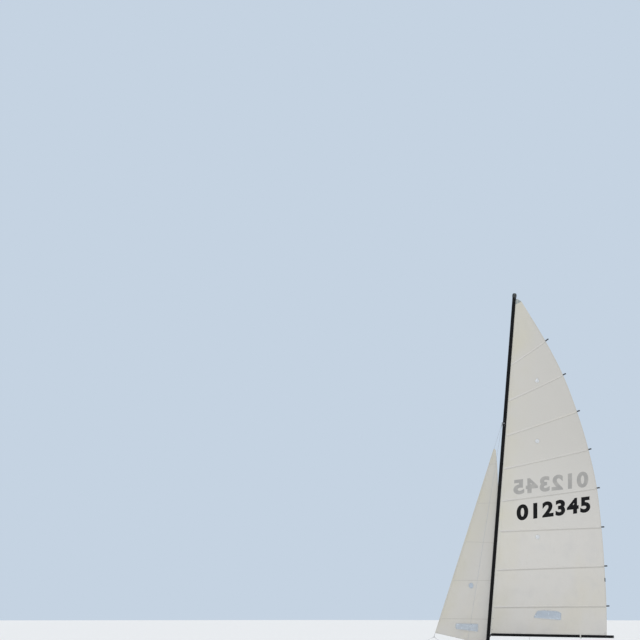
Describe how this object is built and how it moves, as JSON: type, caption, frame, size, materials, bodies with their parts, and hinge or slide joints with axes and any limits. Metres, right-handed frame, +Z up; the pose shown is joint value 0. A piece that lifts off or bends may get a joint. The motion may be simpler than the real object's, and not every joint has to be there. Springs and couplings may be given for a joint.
{
  "type": "beach catamaran",
  "caption": "Small twin-hull sailing boat on the beach, sails up: trampoline frame on pylons, turning mast, boom, full-battened main, jib, and kick-up rudders joined by a tiller bar.",
  "frame": {"origin": "on the ground under the middle of the boat's box", "axes": "+X to the bow, +Y to port, +Z up"},
  "size_m": [5.8377, 2.4597, 8.8012],
  "materials": {
    "gelcoat": "gloss",
    "casting": "satin black",
    "aluminium": "anodised",
    "trampoline_cloth": "matt mesh",
    "webbing": "woven strap",
    "spar_fitting": "satin",
    "spar": "black anodised",
    "track": "black anodised",
    "steel": "satin",
    "wire": "stranded",
    "sailcloth": "matt woven",
    "headboard_alloy": "satin",
    "batten": "matt",
    "blade": "satin",
    "grip": "matt"
  },
  "bodies": {
    "platform": {"hull_port": "gelcoat", "hull_starboard": "gelcoat", "pylon_front_port": "casting", "pylon_front_starboard": "casting", "pylon_rear_port": "casting", "pylon_rear_starboard": "casting", "crossbar_front": "aluminium", "crossbar_rear": "aluminium", "rail_port": "aluminium", "rail_starboard": "aluminium", "trampoline": "trampoline_cloth", "hiking_strap_port": "webbing", "hiking_strap_starboard": "webbing", "dolphin_striker": "steel", "dolphin_post": "spar_fitting", "traveller_track": "track", "traveller_car": "spar_fitting", "mast_step": "spar_fitting", "chainplate_port": "steel", "chainplate_starboard": "steel", "bow_tang_port": "steel", "bow_tang_starboard": "steel", "shroud_port": "wire", "shroud_starboard": "wire", "bridle_port": "wire", "bridle_starboard": "wire", "bridle_ring": "steel", "forestay": "wire", "stay_shackle": "steel", "jib": "sailcloth", "gudgeon_port": "steel", "gudgeon_starboard": "steel"},
    "mast": {"mast_base": "spar_fitting", "mast": "spar", "mast_tip": "spar_fitting", "mast_tang": "spar_fitting", "gooseneck": "spar_fitting"},
    "boom": {"boom_fitting": "spar_fitting", "boom": "spar", "boom_end_cap": "spar_fitting", "mainsail": "sailcloth", "headboard": "headboard_alloy", "batten_1": "batten", "batten_2": "batten", "batten_3": "batten", "batten_4": "batten", "batten_5": "batten", "batten_6": "batten", "batten_7": "batten", "batten_8": "batten"},
    "rudder_port": {"rudder_head_port": "casting", "tiller_arm_port": "aluminium"},
    "rudder_starboard": {"rudder_head_starboard": "casting", "tiller_arm_starboard": "aluminium"},
    "blade_port": {"rudder_blade_port": "blade"},
    "blade_starboard": {"rudder_blade_starboard": "blade"},
    "tiller": {"tiller_crossbar": "aluminium", "tiller_extension": "grip"}
  },
  "joints": [
    {"name": "mast_rotation", "type": "hinge", "parent": "platform", "child": "mast", "pos_m": [0.95, 0, 0.77038], "axis": [-0.1132, 0, 0.9936], "range_deg": [-66, 14]},
    {"name": "boom_swing", "type": "hinge", "parent": "mast", "child": "boom", "pos_m": [0.84792, -0.02455, 1.22172], "axis": [-0.1132, 0, 0.9936], "range_deg": [-18, 18]},
    {"name": "rudder_port_steer", "type": "hinge", "parent": "platform", "child": "rudder_port", "pos_m": [-2.17, 1.082, 0.3], "axis": [0, 0, 1], "range_deg": [-38, 38]},
    {"name": "rudder_starboard_steer", "type": "hinge", "parent": "platform", "child": "rudder_starboard", "pos_m": [-2.17, -1.082, 0.3], "axis": [0, 0, 1], "range_deg": [-38, 38]},
    {"name": "tiller_pivot", "type": "hinge", "parent": "rudder_port", "child": "tiller", "pos_m": [-1.627, 1.082, 0.56968], "axis": [0, 0, 1], "range_deg": [-38, 38]},
    {"name": "blade_port_kick", "type": "hinge", "parent": "rudder_port", "child": "blade_port", "pos_m": [-2.282, 1.082, 0.24498], "axis": [0, 1, 0], "range_deg": [-100, 0]},
    {"name": "blade_starboard_kick", "type": "hinge", "parent": "rudder_starboard", "child": "blade_starboard", "pos_m": [-2.282, -1.082, 0.24498], "axis": [0, 1, 0], "range_deg": [-100, 0]}
  ],
  "couplings": [
    {"joint": "rudder_starboard_steer", "follows": "rudder_port_steer", "ratio": 1},
    {"joint": "tiller_pivot", "follows": "rudder_port_steer", "ratio": -1}
  ]
}
